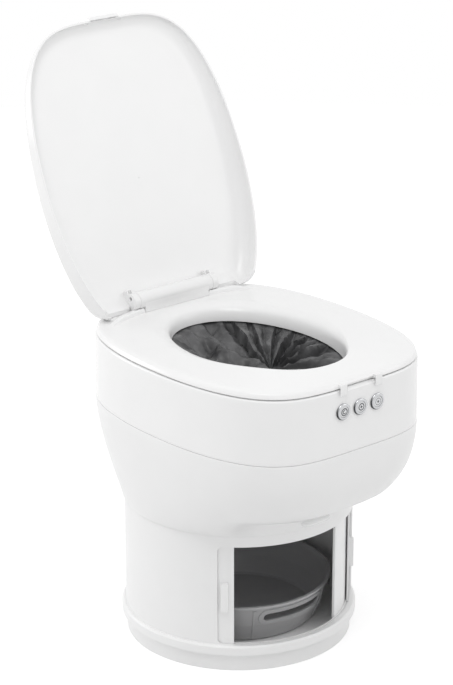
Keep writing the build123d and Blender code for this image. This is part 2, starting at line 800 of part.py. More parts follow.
def make_moving_jaw():
    body = block(-jaw_half_length, jaw_half_length, moving_face_y, moving_face_y + jaw_depth, jaw_low, jaw_high)
    for x in (-rod_place_x, rod_place_x):
        body -= rod_y(rod_radius + 0.05, -200, 50, x, jaw_z)
    return body - rod_y(screw_radius + 0.05, -200, 50, screw_place_x, jaw_z)


def make_rear_bar():
    body = block(-plate_inner_x, plate_inner_x, rear_bar_y, rear_bar_y + 6, jaw_low, jaw_high)
    for x in (-rod_place_x, rod_place_x):
        body -= rod_y(rod_radius, -200, rear_bar_y + 4, x, jaw_z)
    return body - rod_y(screw_radius + 0.05, -200, 50, screw_place_x, jaw_z)


rod_start_y = fixed_back_y + 4
save("fixed_jaw", make_fixed_jaw())
save("moving_jaw", make_moving_jaw())
save("jaw_rear_bar", make_rear_bar())
save("jaw_guide_rods", [rod_y(rod_radius, rod_start_y, rear_bar_y + 4, x, jaw_z)
                        for x in (-rod_place_x, rod_place_x)])
save("jaw_screw", rod_y(screw_radius, rod_start_y + touch_gap, rear_bar_y + 6, screw_place_x, jaw_z))


def make_jaw_motor():
    start_y, end_y = rear_bar_y + 6 + touch_gap, rear_bar_y + 6 + jaw_motor_length
    can = rod_y(jaw_motor_radius, start_y, end_y, screw_place_x, jaw_z)
    return can + rod_y(jaw_motor_radius - 4, end_y - 6, end_y + 4, screw_place_x, jaw_z)


save("jaw_motor", make_jaw_motor())


# Side plates, film rollers and their gears

chassis_low = wall_top_z + shell_wall
chassis_high = chassis_low + chassis_thickness
roller_y = {"front": film_neck_y - roller_pitch / 2, "rear": film_neck_y + roller_pitch / 2}


def make_side_plate(side):
    x0 = side * plate_inner_x
    x1 = side * (plate_inner_x + side_plate_thickness)
    x0, x1 = min(x0, x1), max(x0, x1)
    body = block(x0, x1, fixed_back_y - 6, rear_bar_y + 12, chassis_high + 8, jaw_high + 6)
    body += block(x0, x1, fixed_back_y + 6, rear_bar_y, chassis_high, chassis_high + 9)
    foot = side * (plate_inner_x - 14)
    body += block(min(x0, foot), max(x1, foot), fixed_back_y + 6, rear_bar_y, chassis_high, chassis_high + 3)
    for y in roller_y.values():
        body -= rod_x(roller_shaft_radius + 0.05, -200, 200, y, roller_z)
    window = block(x0 - 1, x1 + 1, fixed_back_y + 6, rear_bar_y - 4, chassis_high + 22, roller_z - 24)
    return body - fillet(window.edges().filter_by(Axis.X), 10)


def make_gear(teeth, pitch_radius, width):
    module = 2 * pitch_radius / teeth
    root, tip = pitch_radius - 1.15 * module, pitch_radius + 0.8 * module
    body = Cylinder(root, width)
    flank = [(root - 1, 0.95 * module), (pitch_radius, 0.62 * module), (tip, 0.34 * module)]
    tooth = make_face(Polyline(*flank, *[(r, -half) for r, half in reversed(flank)], close=True))
    tooth = Pos(0, 0, -width / 2) * prism(tooth, width)
    for i in range(teeth):
        body += Rot(0, 0, 360 * i / teeth) * tooth
    return body


def gear_at(y, turn):
    gear = make_gear(gear_teeth, roller_pitch / 2, gear_width)
    x = -(plate_inner_x + side_plate_thickness + 0.6 + gear_width / 2)
    placed = Pos(x, y, roller_z) * Rot(0, 90, 0) * Rot(0, 0, turn) * gear
    return placed - rod_x(roller_shaft_radius, -300, 300, y, roller_z)


save("left_side_plate", make_side_plate(-1))
save("right_side_plate", make_side_plate(1))
shaft_left = -(plate_inner_x + side_plate_thickness + 0.6 + gear_width)
for name, y in roller_y.items():
    shaft_right = plate_inner_x + side_plate_thickness + (0 if name == "rear" else 10)
    save(f"{name}_roller_shaft", rod_x(roller_shaft_radius, shaft_left, shaft_right, y, roller_z))
    sleeve = rod_x(roller_radius, -roller_half_length, roller_half_length, y, roller_z)
    save(f"{name}_roller", sleeve - rod_x(roller_shaft_radius, -200, 200, y, roller_z))
half_tooth = 180 / gear_teeth
save("front_roller_gear", gear_at(roller_y["front"], 90))
save("rear_roller_gear", gear_at(roller_y["rear"], 90 + 180 + half_tooth))


def make_roller_motor():
    x0 = plate_inner_x + side_plate_thickness
    y = roller_y["front"]
    can = rod_x(roller_motor_radius, x0, x0 + roller_motor_length, y, roller_z)
    return can - rod_x(roller_shaft_radius + 0.1, x0 - 1, x0 + 11, y, roller_z)


save("roller_motor", make_roller_motor())


# Chassis, battery and power inlet

screw_places = [(sx * 118, sy) for sx in (-1, 1) for sy in (-60, 60)]


def make_chassis():
    body = disc(chassis_radius, chassis_low, chassis_high)
    body -= disc(drop_hole_radius - 2, chassis_low - 5, chassis_high + 5, 0, film_neck_y)
    for x, y in screw_places:
        body -= disc(2.0, 200, 240, x, y)
    return body


def make_screw(x, y):
    return disc(2.0, chassis_low, chassis_high, x, y) + disc(3.8, chassis_high, chassis_high + 2.4, x, y)


def make_battery():
    wide, deep, tall = battery_size
    y0 = 62.0
    body = block(-wide / 2, wide / 2, y0, y0 + deep, chassis_high, chassis_high + tall)
    return fillet(body.edges().filter_by(Axis.Z), 4)


def make_inlet():
    """The low-voltage socket in the rear of the lower shell."""
    bezel = rod_y(inlet_radius + 4.5, 140, 200, inlet_x, inlet_z) - bowl_outer
    bezel &= Pos(0, 1.8, 0) * bowl_outer
    barrel = rod_y(inlet_radius + 1.8, 140, 200, inlet_x, inlet_z) & Pos(0, 1.5, 0) * bowl_outer
    bore = rod_y(inlet_radius - 1.5, 150, 220, inlet_x, inlet_z)
    return bezel + barrel - bore + rod_y(1.0, 146, 162, inlet_x, inlet_z)


save("chassis_plate", make_chassis())
save("chassis_screws", [make_screw(x, y) for x, y in screw_places])
save("battery_pack", make_battery())
save("power_inlet", make_inlet())


# Buttons, bezels and their board

flange_back_y = front_face_y + 6.4


def make_bezel(x):
    front = front_face_y - bezel_proud
    body = rod_y(bezel_radius, front, front_face_y + 2, x, button_z)
    body = fillet(body.faces().sort_by(Axis.Y)[0].edges(), 1.6)
    body += rod_y(button_radius + 2.3, front_face_y, front_face_y + 5, x, button_z)
    body -= rod_y(button_radius + running_gap / 2, front - 1, front_face_y + 6, x, button_z)
    return body - band_body


def make_button(x):
    front = front_face_y - button_proud - 1.0
    cap = rod_y(button_radius, front, front_face_y + 5.5, x, button_z)
    cap = fillet(cap.faces().sort_by(Axis.Y)[0].edges(), 0.8)
    flange = rod_y(button_radius + 1.6, front_face_y + 5.2, flange_back_y, x, button_z)
    return cap + flange


def make_switch(x):
    half = switch_size / 2
    front = flange_back_y + button_travel + touch_gap
    return block(x - half, x + half, front, board_front_y, button_z - half, button_z + half)


def make_board():
    low = button_z - board_height / 2
    half, back_y = board_width / 2, board_front_y + board_thickness
    return block(-half, half, board_front_y, back_y, low, low + board_height)


for x, name in button_places():
    save(name, make_button(x))
save("button_bezels", [make_bezel(x) for x, _ in button_places()])
save("button_switches", [make_switch(x) for x, _ in button_places()])
save("control_board", make_board())
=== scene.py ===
import json
from math import cos, pi, radians, sin

import bmesh
import bpy
import numpy as np
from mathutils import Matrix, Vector, noise


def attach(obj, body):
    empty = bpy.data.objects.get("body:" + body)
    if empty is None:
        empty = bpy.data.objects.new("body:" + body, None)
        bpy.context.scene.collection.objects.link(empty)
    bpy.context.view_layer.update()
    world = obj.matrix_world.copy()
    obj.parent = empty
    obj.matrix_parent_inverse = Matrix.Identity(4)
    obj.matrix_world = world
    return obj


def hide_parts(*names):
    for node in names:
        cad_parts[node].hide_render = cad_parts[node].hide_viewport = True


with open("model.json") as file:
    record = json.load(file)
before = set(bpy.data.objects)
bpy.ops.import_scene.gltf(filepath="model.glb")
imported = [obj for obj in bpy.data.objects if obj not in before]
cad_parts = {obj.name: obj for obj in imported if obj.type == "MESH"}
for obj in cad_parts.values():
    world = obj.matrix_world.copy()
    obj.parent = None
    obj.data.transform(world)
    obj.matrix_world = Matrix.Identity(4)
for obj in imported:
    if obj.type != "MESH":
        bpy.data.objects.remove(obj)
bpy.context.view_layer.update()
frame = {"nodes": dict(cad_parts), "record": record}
MM = 0.001

# Every shape below is given in millimetres in the part's own frame: +Z up, the front towards -Y.

# Body shells
body_half_width, body_half_depth, body_middle_y = 186.2, 219.3, -34.2
body_side_power, body_end_power = 4.08, 2.22
bowl_bottom_z, bowl_bottom_radius = 208.5, 167.0
bowl_floor_z, bowl_floor_top_z = 211.0, 213.8
pedestal_fit_radius = 165.3
drop_hole_radius, drop_hole_y = 92.0, -52.0
front_growth, rear_growth, side_growth, power_growth = 3.0, 1.4, 1.62, 1.77
seam_z, seam_gap = 352.0, 0.5
spigot_step, spigot_height = 4.4, 6.0
skirt_top_z, skirt_end_z, skirt_full_angle, skirt_end_angle = 222.0, 256.0, 24.0, 47.0
grip_z, grip_half_height, grip_half_angle, grip_depth = 217.0, 5.2, 8.8, 8.0
shell_wall = 2.8
band_top_z, band_lean, band_round = 444.8, 1.2, 3.0
band_deck_width, band_deck_thickness = 38.0, 3.3
inlet_x, inlet_z, inlet_hole_radius = -70.0, 262.0, 7.7

# Buttons on the front of the band
button_pitch, button_z, button_hole_radius = 30.7, 413.8, 9.95
front_y = body_middle_y - body_half_depth
button_face_y = front_y - 2.2
mark_front, mark_back = button_face_y - 0.06, button_face_y + 0.3

# Finger recess under the seat's front edge, between the two clips
recess_half_width, recess_low_z, recess_back_z, recess_high_z, recess_depth = 27.0, 440.0, 445.4, 450.0, 7.0

# Seat
seat_bottom_z, seat_top_z = 446.2, 455.3
seat_bottom_inset, seat_top_inset = 2.8, 12.5
opening_half_width, opening_half_length, opening_middle_y = 98.6, 144.5, -40.5
opening_side_power, opening_end_power = 2.15, 1.95
collar_bottom_z, collar_wall = 431.0, 5.0
scoop_front, scoop_front_y, scoop_full_y = 0.2, -150.0, -20.0
seat_hinge_y, seat_hinge_z, seat_hinge_radius = 190.0, 446.6, 4.2
seat_hinge_places = (-60.0, 60.0)
seat_knuckle, seat_hinge_width = 10.0, 28.0
clip_x, clip_half_width, clip_gap, clip_depth, clip_reach = 31.8, 5.8, 0.3, 2.2, 9.0
clip_low_z, clip_high_z = 437.2, 453.6
lip_front_radius, lip_centre_y = 418.0, -276.6
lip_depth, lip_height, lip_sink = 9.0, 6.5, 1.5
lip_inner_x, lip_fade_x, lip_outer_x = 58.8, 100.0, 137.0

# Lid, shaped closed and then opened about its hinge
hinge_y, hinge_z, lid_open_angle = 148.6, 476.0, 115.2
lid_rim_z = 456.6
lid_half_width, lid_front, lid_rear, lid_middle_y = 177.5, 231.2, 223.7, -17.7
lid_side_power, lid_front_power, lid_rear_power = 4.04, 2.23, 1.87
lid_top_rear_z, lid_top_front_z, lid_wall = 494.0, 471.0, 3.2
lid_edge_round, lid_dish_round, lid_corner_round = 9.0, 21.0, 16.0
lid_stop_gap = 0.5
tab_half_width, tab_reach, tab_notch = 26.0, 4.0, 7.0

# Hinge of the lid. The barrel hangs below the pin, and the lid has room cut out behind it, so that it can turn.
# Each room is given by its half width, the radius it starts from and how far it stays behind the hinge.
barrel_y, barrel_z, barrel_radius, barrel_half_length = 148.6, 471.0, 12.3, 66.2
knuckle_outer_x, pin_radius, bracket_half_width, bracket_depth = 76.6, 3.0, 58.0, 14.3
turning_rooms = ((138.0, 20.2, 0.5), (118.0, 0.0, 0.5), (78.4, 0.0, 3.0))

# Liner film, gathered into a pinch a little to the right of the middle
pinch_x, pinch_y, pinch_z = 14.0, -52.0, 405.0
film_rim_z, film_flange, film_thickness = 429.6, 5.0, 0.2
film_neck_radius, film_end_z = 2.2, 322.0
pocket_z, fold_depth, loose_fold_depth = 406.0, 17.0, 13.0
wave_size, wave_depth, wrinkle_size, wrinkle_depth = 46.0, 6.0, 19.0, 2.4
lobe_x, lobe_y, lobe_half_width, lobe_half_length, lobe_height = -6.0, 22.0, 15.0, 21.0, 13.0


# Meshes

def oblong(half_width, front, rear, middle_y, side_power, front_power, rear_power, inset=0.0, count=256):
    """Evenly spaced points of a rounded oblong, moved inwards by inset.
    They start at the front middle and run anticlockwise."""
    fine = 14400
    t = np.radians(np.arange(fine) * 360 / fine - 90)
    c, s = np.cos(t), np.sin(t)
    reach = np.where(s < 0, front, rear)
    power = np.where(s < 0, front_power, rear_power)
    x = half_width * np.sign(c) * np.abs(c) ** (2 / side_power)
    y = middle_y + reach * np.sign(s) * np.abs(s) ** (2 / power)
    dx, dy = np.roll(x, -40) - np.roll(x, 40), np.roll(y, -40) - np.roll(y, 40)
    size = np.hypot(dx, dy)
    x, y = x - inset * dy / size, y + inset * dx / size
    walked = np.concatenate([[0], np.cumsum(np.hypot(np.roll(x, -1) - x, np.roll(y, -1) - y))])
    goal = walked[-1] * np.arange(count) / count
    return np.column_stack([np.interp(goal, walked, np.append(line, line[0])) for line in (x, y)])


def at_height(points, z):
    return np.column_stack([points, np.broadcast_to(z, len(points))])


def body_row(z, inset=0.0, count=256):
    return at_height(oblong(body_half_width, body_half_depth, body_half_depth, body_middle_y, body_side_power,
                            body_end_power, body_end_power, inset, count), z)


def opening_row(z, inset=0.0, count=256):
    return at_height(oblong(opening_half_width, opening_half_length, opening_half_length, opening_middle_y,
                            opening_side_power, opening_end_power, opening_end_power, inset, count), z)


def circle_row(z, radius, y=0.0, count=256):
    t = np.radians(np.arange(count) * 360 / count - 90)
    return np.column_stack([radius * np.cos(t), y + radius * np.sin(t), np.full(count, z)])


def lathe_x(profile, y, z, count=64):
    """Rows of circles about a line along X, from a profile of places along it and radii."""
    t = np.arange(count) * 2 * pi / count
    return [np.column_stack([np.full(count, x), y + r * np.cos(t), z + r * np.sin(t)]) for x, r in profile]


def lathe_y(profile, x, z, count=64):
    t = np.arange(count) * 2 * pi / count
    return [np.column_stack([x + r * np.cos(t), np.full(count, y), z + r * np.sin(t)]) for y, r in profile]


def skin(rows, ring=False, cap=True):
    """Faces between rows. A ring joins the last row to the first, and otherwise the end rows are capped."""
    count, last = len(rows[0]), len(rows)
    faces = []
    for i in range(last if ring else last - 1):
        a, b = i * count, (i + 1) % last * count
        for k in range(count):
            n = (k + 1) % count
            faces.append((a + k, a + n, b + n, b + k))
    if not ring and cap:
        faces += [tuple(range(count)), tuple(range((last - 1) * count, last * count))]
    return np.concatenate(rows), faces


def block(x0, x1, y0, y1, z0, z1):
    rows = [np.array([(x0, y0, z), (x1, y0, z), (x1, y1, z), (x0, y1, z)], float) for z in (z0, z1)]
    return skin(rows)


def slab_x(corners, half_width):
    """A body that runs across from -half_width to half_width, with its side view given as pairs of y and z."""
    return skin([np.array([(x, y, z) for y, z in corners], float) for x in (-half_width, half_width)])


def together(parts):
    """Several closed meshes as one."""
    points, faces = [], []
    for some_points, some_faces in parts:
        start = sum(len(p) for p in points)
        points.append(some_points)
        faces += [tuple(start + i for i in face) for face in some_faces]
    return np.concatenate(points), faces


def make_object(name, part):
    points, faces = part
    mesh = bpy.data.meshes.new(name)
    mesh.from_pydata((np.asarray(points) * MM).tolist(), [], faces)
    made = bpy.data.objects.new(name, mesh)
    bpy.context.scene.collection.objects.link(made)
    tidy_mesh(mesh)
    return made


def tidy_mesh(mesh):
    """Joins doubled points and turns every closed shell's faces outwards."""
    work = bmesh.new()
    work.from_mesh(mesh)
    bmesh.ops.remove_doubles(work, verts=work.verts, dist=1e-6)
    bmesh.ops.dissolve_degenerate(work, edges=work.edges, dist=1e-7)
    bmesh.ops.recalc_face_normals(work, faces=work.faces)
    work.to_mesh(mesh)
    work.free()


def soften(piece, width, segments=3, angle=35):
    bevel = piece.modifiers.new("edge_round", "BEVEL")
    bevel.width, bevel.segments = width * MM, segments
    bevel.limit_method, bevel.angle_limit = "ANGLE", radians(angle)
    apply_modifiers(piece)


def parts_of(piece):
    """A finished piece's points, in millimetres, and faces, and removes the piece."""
    points = np.array([v.co for v in piece.data.vertices]) / MM
    faces = [tuple(f.vertices) for f in piece.data.polygons]
    bpy.data.objects.remove(piece)
    return points, faces


def apply_modifiers(piece):
    ready = bpy.data.meshes.new_from_object(piece.evaluated_get(bpy.context.evaluated_depsgraph_get()))
    piece.modifiers.clear()
    piece.data = ready


def combine(piece, part, operation):
    """Cuts a closed mesh out of the piece, or joins one to it."""
    tool = make_object(piece.name + "_tool", part)
    change = piece.modifiers.new("change", "BOOLEAN")
    change.object, change.operation, change.solver = tool, operation, "EXACT"
    apply_modifiers(piece)
    bpy.data.objects.remove(tool)


def dress(piece, material, body, slot, *nodes, crease=32):
    """Smooths the finished piece, gives it its material, hangs it on its body and hides the CAD nodes it stands
    for.
    """
    piece.data.shade_smooth()
    piece.data.set_sharp_from_angle(angle=radians(crease))
    piece.data.materials.clear()
    piece.data.materials.append(material)
    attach(piece, body)
    if nodes:
        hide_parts(*nodes)
    return piece


# Materials

def linear(code):
    """A colour's sRGB hex code as linear red, green, blue and alpha."""
    parts = [int(code[i:i + 2], 16) / 255 for i in (0, 2, 4)]
    return [p / 12.92 if p <= 0.04045 else ((p + 0.055) / 1.055) ** 2.4 for p in parts] + [1.0]


def node(tree, kind, settings=None, inputs=None):
    """Adds a node. Its inputs are given by name or number, as values or as the outputs that feed them."""
    made = tree.nodes.new(kind)
    for name, value in (settings or {}).items():
        setattr(made, name, value)
    for name, value in (inputs or {}).items():
        if isinstance(value, bpy.types.NodeSocket):
            tree.links.new(value, made.inputs[name])
        else:
            made.inputs[name].default_value = value
    return made


def new_material(name):
    made = bpy.data.materials.new(name)
    made.use_nodes = True
    made.node_tree.nodes.clear()
    return made, made.node_tree


def pattern(tree, size_mm, detail=2.0, kind="ShaderNodeTexNoise"):
    """A noise whose marks are about size_mm across, on the object's own millimetres."""
    place = node(tree, "ShaderNodeTexCoord").outputs["Object"]
    inputs = {"Vector": place, "Scale": 1 / (size_mm * MM)}
    if kind == "ShaderNodeTexNoise":
        inputs["Detail"] = detail
    return node(tree, kind, None, inputs).outputs[0]


def remap(tree, value, low, high, start=0.3, end=0.7):
    inputs = {"Value": value, "From Min": start, "From Max": end, "To Min": low, "To Max": high}
    return node(tree, "ShaderNodeMapRange", None, inputs).outputs["Result"]


def uneven(tree, size_mm, low, high):
    """A value, such as a roughness, that wanders between two others."""
    return remap(tree, pattern(tree, size_mm), low, high)


def two_tone(tree, value, first, second, start=0.35, end=0.65):
    ramp = node(tree, "ShaderNodeValToRGB", None, {"Fac": remap(tree, value, 0.0, 1.0, start, end)})
    ramp.color_ramp.elements[0].color, ramp.color_ramp.elements[1].color = linear(first), linear(second)
    return ramp.outputs["Color"]


def bumped(tree, height, depth_mm, strength=1.0, under=None):
    inputs = {"Height": height, "Distance": depth_mm * MM, "Strength": strength}
    if under is not None:
        inputs["Normal"] = under
    return node(tree, "ShaderNodeBump", None, inputs).outputs["Normal"]


def facing(tree, direction):
    """How far the surface faces along a direction, which is a vector or an output that gives one."""
    normal = node(tree, "ShaderNodeTexCoord").outputs["Normal"]
    product = node(tree, "ShaderNodeVectorMath", {"operation": "DOT_PRODUCT"}, {0: normal, 1: direction})
    return product.outputs["Value"]


def surface(tree, **inputs):
    """The shader itself, joined to the material's output."""
    named = {name.replace("_", " "): value for name, value in inputs.items()}
    shader = node(tree, "ShaderNodeBsdfPrincipled", None, named)
    node(tree, "ShaderNodeOutputMaterial", None, {"Surface": shader.outputs["BSDF"]})
    return shader


def glossy_abs():
    """Injection-moulded ABS from a polished mould: clean white, soft mirror, faint waves from cooling."""
    made, tree = new_material("glossy_white_abs")
    tone = two_tone(tree, pattern(tree, 60.0), "EFEFEF", "F0F0F0")
    waves = bumped(tree, pattern(tree, 30.0, 1.0), 0.03, 0.4)
    grain = bumped(tree, pattern(tree, 1.2), 0.01, 0.35, waves)
    surface(tree, Base_Color=tone, Roughness=uneven(tree, 35.0, 0.20, 0.27), IOR=1.53, Normal=grain)
    return made


def satin_abs():
    """The same ABS from a spark-eroded mould: a very fine even grain that blurs what it mirrors.
    The real grain is about 0.2 mm and is drawn at 0.9 mm, so that it shows."""
    made, tree = new_material("satin_white_abs")
    tone = two_tone(tree, pattern(tree, 45.0), "EDEDED", "EEEEEE")
    waves = bumped(tree, pattern(tree, 34.0, 1.0), 0.03, 0.4)
    grain = bumped(tree, pattern(tree, 0.9), 0.02, 0.5, waves)
    surface(tree, Base_Color=tone, Roughness=uneven(tree, 30.0, 0.34, 0.42), IOR=1.53, Normal=grain)
    return made


def grey_polypropylene():
    """Waxy grey polypropylene, with painted light: the inside is drawn a little lighter, to lift the shade the
    bucket stands in.
    """
    made, tree = new_material("grey_polypropylene")
    place = node(tree, "ShaderNodeTexCoord").outputs["Object"]
    outwards = node(tree, "ShaderNodeVectorMath", {"operation": "MULTIPLY"}, {0: place, 1: (1.0, 1.0, 0.0)})
    # painted light: surfaces that face in towards the middle get the lighter grey, those facing out the darker
    tone = two_tone(tree, facing(tree, outwards.outputs[0]), "B6B6B8", "AAAAAB", -0.01, 0.03)
    scuffs = bumped(tree, pattern(tree, 1.5), 0.02, 0.5)
    surface(tree, Base_Color=tone, Roughness=uneven(tree, 18.0, 0.34, 0.46), IOR=1.49, Normal=scuffs)
    return made


def liner_polythene():
    """Thin blown polythene film in charcoal grey, with fine crinkles and paler patches of painted sheen, spread
    at random.
    """
    made, tree = new_material("charcoal_polythene_film")
    # painted sheen: paler patches from a noise about 30 mm across, not placed at the creases
    tone = two_tone(tree, pattern(tree, 30.0), "3A3A3B", "606061")
    crinkle = bumped(tree, pattern(tree, 9.0, 3.0), 1.0, 0.9)
    surface(tree, Base_Color=tone, Roughness=uneven(tree, 12.0, 0.3, 0.44), IOR=1.45, Normal=crinkle)
    return made


def chrome_painted_reflection():
    """Chrome plating over plastic: a bright mirror with a painted reflection, dark where it faces down and to
    the left.
    """
    made, tree = new_material("chrome_plating_painted_reflection")
    # painted reflection: dark towards the lower left and light towards the upper right, set by the surface's
    # direction
    tone = two_tone(tree, facing(tree, (0.75, 0.0, 0.66)), "3E3F41", "CDCED0", -0.65, 0.1)
    surface(tree, Base_Color=tone, Metallic=1.0, Roughness=uneven(tree, 3.0, 0.14, 0.22))
    return made


def button_cap_abs():
    """Off-white ABS caps, a shade darker than the band, with a slightly rubbed face."""
    made, tree = new_material("off_white_button_abs")
    tone = two_tone(tree, pattern(tree, 6.0), "DADBDD", "E2E3E4")
    surface(tree, Base_Color=tone, Roughness=uneven(tree, 4.0, 0.28, 0.38), IOR=1.53)
    return made


def pad_ink():
    """Grey pad-printing ink on the caps: flat and a little uneven."""
    made, tree = new_material("grey_pad_ink")
    tone = two_tone(tree, pattern(tree, 1.0), "44464A", "54565A")
    surface(tree, Base_Color=tone, Roughness=uneven(tree, 2.0, 0.5, 0.6), IOR=1.5)
    return made


def plain_polymer(name, first, second, low, high, grain_mm, grain_depth=0.02, ior=1.5):
    """Inner mouldings and rubbers: mottled a little, with a fine grain from the mould."""
    made, tree = new_material(name)
    tone = two_tone(tree, pattern(tree, 14.0), first, second)
    grain = bumped(tree, pattern(tree, grain_mm), grain_depth, 0.6)
    surface(tree, Base_Color=tone, Roughness=uneven(tree, 9.0, low, high), IOR=ior, Normal=grain)
    return made


def bright_metal(name, first, second, low, high, line_mm, stretch):
    """Rolled, drawn or ground metal: fine lines along its length, given by how far the noise is stretched."""
    made, tree = new_material(name)
    place = node(tree, "ShaderNodeTexCoord").outputs["Object"]
    along = node(tree, "ShaderNodeMapping", {"vector_type": "TEXTURE"}, {"Vector": place, "Scale": stretch})
    inputs = {"Vector": along.outputs[0], "Scale": 1 / (line_mm * MM)}
    lines = node(tree, "ShaderNodeTexNoise", None, inputs).outputs[0]
    tone = two_tone(tree, lines, first, second)
    fine = bumped(tree, lines, 0.01, 0.4)
    surface(tree, Base_Color=tone, Metallic=1.0, Roughness=remap(tree, lines, low, high), Normal=fine)
    return made


def zinc_plate():
    """Zinc-plated steel sheet: the pale spangle of the plating, a few millimetres across."""
    made, tree = new_material("zinc_plated_steel")
    spangle = pattern(tree, 6.0, kind="ShaderNodeTexVoronoi")
    tone = two_tone(tree, spangle, "A9ACB0", "BFC2C6", 0.0, 0.8)
    surface(tree, Base_Color=tone, Metallic=1.0, Roughness=remap(tree, spangle, 0.3, 0.45, 0.0, 0.8))
    return made


def circuit_board():
    """Glass-fibre board under green solder mask, with its tracks standing just proud."""
    made, tree = new_material("green_solder_mask")
    tracks = pattern(tree, 5.0, kind="ShaderNodeTexVoronoi")
    tone = two_tone(tree, tracks, "0F4A26", "1B6B38", 0.2, 0.4)
    surface(tree, Base_Color=tone, Roughness=uneven(tree, 3.0, 0.2, 0.3), IOR=1.5,
            Normal=bumped(tree, tracks, 0.05, 0.5))
    return made


glossy = glossy_abs()
satin = satin_abs()
film_finish = liner_polythene()
finishes = {
    "white_gloss": glossy,
    "white_satin": satin,
    "rubber_foot": plain_polymer("black_rubber", "1B1B1C", "222223", 0.6, 0.75, 0.8, 0.05, 1.52),
    "bucket_grey": grey_polypropylene(),
    "film": film_finish,
    "black_plastic": plain_polymer("black_moulded_abs", "1A1A1B", "212122", 0.4, 0.5, 0.9, 0.02, 1.53),
    "sheet_steel": zinc_plate(),
    "steel": bright_metal("ground_steel_rod", "A6A8AB", "B4B6B9", 0.18, 0.3, 0.6, (1.0, 12.0, 12.0)),
    "jaw_aluminium": bright_metal("extruded_aluminium", "C3C5C8", "CFD1D3", 0.25, 0.38, 0.8,
                                  (25.0, 1.0, 1.0)),
    "roller_rubber": plain_polymer("grey_silicone_rubber", "5B5C5E", "656668", 0.55, 0.7, 0.7, 0.04, 1.41),
    "gear_plastic": plain_polymer("natural_acetal", "D9D5C8", "E2DED2", 0.35, 0.45, 0.8, 0.01, 1.48),
    "motor_can": bright_metal("nickel_plated_motor_can", "9C9DA0", "AAABAE", 0.2, 0.32, 1.0,
                              (1.0, 1.0, 20.0)),
    "battery_case": plain_polymer("blue_shrink_wrap", "16233F", "1D2C4C", 0.25, 0.4, 6.0, 0.2, 1.53),
    "button_white": button_cap_abs(),
    "bezel_chrome": chrome_painted_reflection(),
    "switch_black": plain_polymer("black_switch_nylon", "171718", "1E1E1F", 0.45, 0.55, 0.6, 0.02, 1.53),
    "board_green": circuit_board(),
}


def dress_cad_nodes():
    """The CAD pieces that stay get the finish of their own material slot."""
    for part in frame["record"]["subparts"]:
        piece = frame["nodes"][part["node"]]
        piece.data.materials.clear()
        piece.data.materials.append(finishes[part["material_slot"]])


# Upper band

def band_rows():
    low = seam_z + seam_gap
    edge = 0.8
    turns = [radians(a) for a in (0, 30, 60, 90)]
    rows = [body_row(low + edge - edge * cos(turn), edge - edge * sin(turn)) for turn in turns]
    for z in np.linspace(low + 6, band_top_z - band_round, 18):
        rows.append(body_row(z, band_lean * (z - low) / (band_top_z - band_round - low)))
    for a in (15, 30, 45, 60, 75, 90):
        turn = radians(a)
        inset = band_lean + band_round * (1 - cos(turn))
        rows.append(body_row(band_top_z - band_round + band_round * sin(turn), inset))
    deck = band_top_z - band_deck_thickness
    rows += [body_row(band_top_z, w) for w in (8, 14, 22, 30, band_deck_width - 0.6)]
    rows += [body_row(band_top_z - 0.6, band_deck_width), body_row(deck, band_deck_width)]
    inner = band_lean + shell_wall
    rows += [body_row(deck, w) for w in (30, 22, 14, inner + 2)]
    rows += [body_row(z, inner) for z in (deck - 2, 420, 396, 372, low)]
    return rows


def band_leaves():
    """The two knuckles of each seat hinge that stand on the rear of the band."""
    parts = []
    for x in seat_hinge_places:
        for side in (-1, 1):
            x0, x1 = sorted((x + side * (seat_knuckle / 2 + 0.3), x + side * seat_hinge_width / 2))
            parts.append(knuckle(x0, x1, seat_hinge_y, seat_hinge_z, seat_hinge_radius))
            parts.append(block(x0 + 0.4, x1 - 0.4, seat_hinge_y - 7, seat_hinge_y,
                               seat_hinge_z - 9, seat_hinge_z - 1))
    return parts


def knuckle(x0, x1, y, z, radius, edge=0.7):
    profile = [(x0, radius - edge), (x0 + 0.3 * edge, radius - 0.3 * edge), (x0 + edge, radius),
               (x1 - edge, radius), (x1 - 0.3 * edge, radius - 0.3 * edge), (x1, radius - edge)]
    return skin(lathe_x(profile, y, z))


def finger_recess():
    """The hollow between the clips where a finger lifts the seat. Its floor slopes out and down."""
    ahead_y, back_y = front_y - 5, front_y + recess_depth
    return slab_x([(ahead_y, recess_low_z - 3), (back_y, recess_back_z), (back_y, recess_high_z),
                   (ahead_y, recess_high_z)], recess_half_width)


def make_band():
    piece = make_object("upper_band", skin(band_rows(), ring=True))
    hole = [(front_y - 8, button_hole_radius), (front_y + 12, button_hole_radius)]
    holes = [skin(lathe_y(hole, x, button_z)) for x in (-button_pitch, 0.0, button_pitch)]
    combine(piece, together(holes + [finger_recess()]), "DIFFERENCE")
    add_part(piece, together(band_leaves()))
    dress(piece, glossy, "stand", "white_gloss", "upper_band_shell")


def add_part(piece, part):
    """Adds closed meshes to a piece, each standing slightly into it."""
    more = make_object("more", part)
    work = bmesh.new()
    work.from_mesh(piece.data)
    work.from_mesh(more.data)
    work.to_mesh(piece.data)
    work.free()
    bpy.data.objects.remove(more)


# Lower bowl

